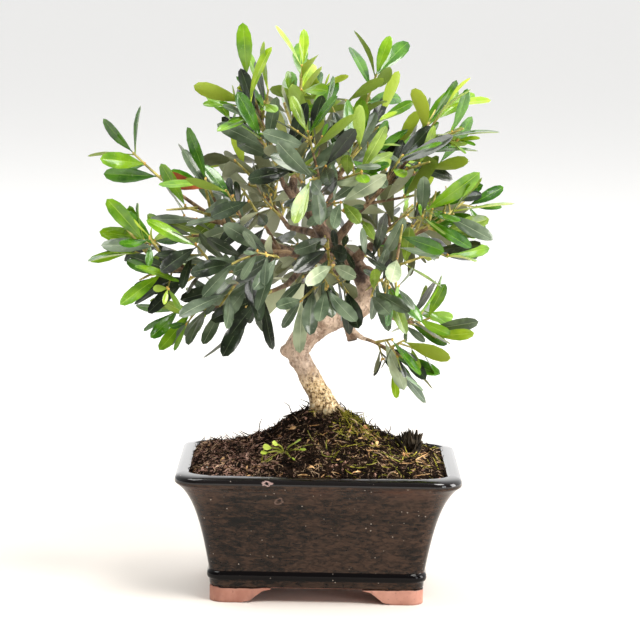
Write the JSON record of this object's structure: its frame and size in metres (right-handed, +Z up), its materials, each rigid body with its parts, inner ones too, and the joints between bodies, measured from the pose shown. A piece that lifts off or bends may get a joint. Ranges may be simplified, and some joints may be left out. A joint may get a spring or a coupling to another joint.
{
  "type": "olive bonsai in a glazed pot",
  "caption": "Small olive tree trained as a bonsai: pale bent trunk, short boughs and loose foliage over mounded soil in a dark glazed rectangular pot that stands on clay feet.",
  "frame": {"origin": "middle of the bounding box, at the level of the feet's undersides", "axes": "+Z up, +X to the right and +Y away from a viewer who faces the pot's long side"},
  "size_m": [0.223, 0.1828, 0.3015],
  "materials": {
    "glaze": "gloss",
    "clay": "matte",
    "soil": "matte",
    "bark": "matte",
    "leaf": "satin"
  },
  "bodies": {
    "root": {"pot": "glaze", "foot_front_left": "clay", "foot_front_right": "clay", "foot_back_left": "clay", "foot_back_right": "clay", "soil": "soil", "trunk": "bark", "bough_left": "bark", "bough_left_middle": "bark", "bough_left_low": "bark", "bough_left_front": "bark", "bough_upper_left": "bark", "bough_upper_right": "bark", "bough_right_high": "bark", "bough_right": "bark", "bough_right_low": "bark", "bough_right_bottom": "bark", "bough_right_front": "bark", "bough_front_low": "bark", "bough_front": "bark", "bough_back_left": "bark", "bough_back_right": "bark", "bough_back_top": "bark", "bough_back_low": "bark", "foliage_left_high": "leaf", "foliage_left_middle": "leaf", "foliage_left_low": "leaf", "foliage_left_front": "leaf", "foliage_upper_left": "leaf", "foliage_top": "leaf", "foliage_upper_right": "leaf", "foliage_right_high": "leaf", "foliage_right_middle": "leaf", "foliage_right_low": "leaf", "foliage_right_bottom": "leaf", "foliage_right_front": "leaf", "foliage_front_low": "leaf", "foliage_front": "leaf", "foliage_back_left": "leaf", "foliage_back_right": "leaf", "foliage_back_top": "leaf", "foliage_back_low": "leaf"}
  },
  "joints": []
}
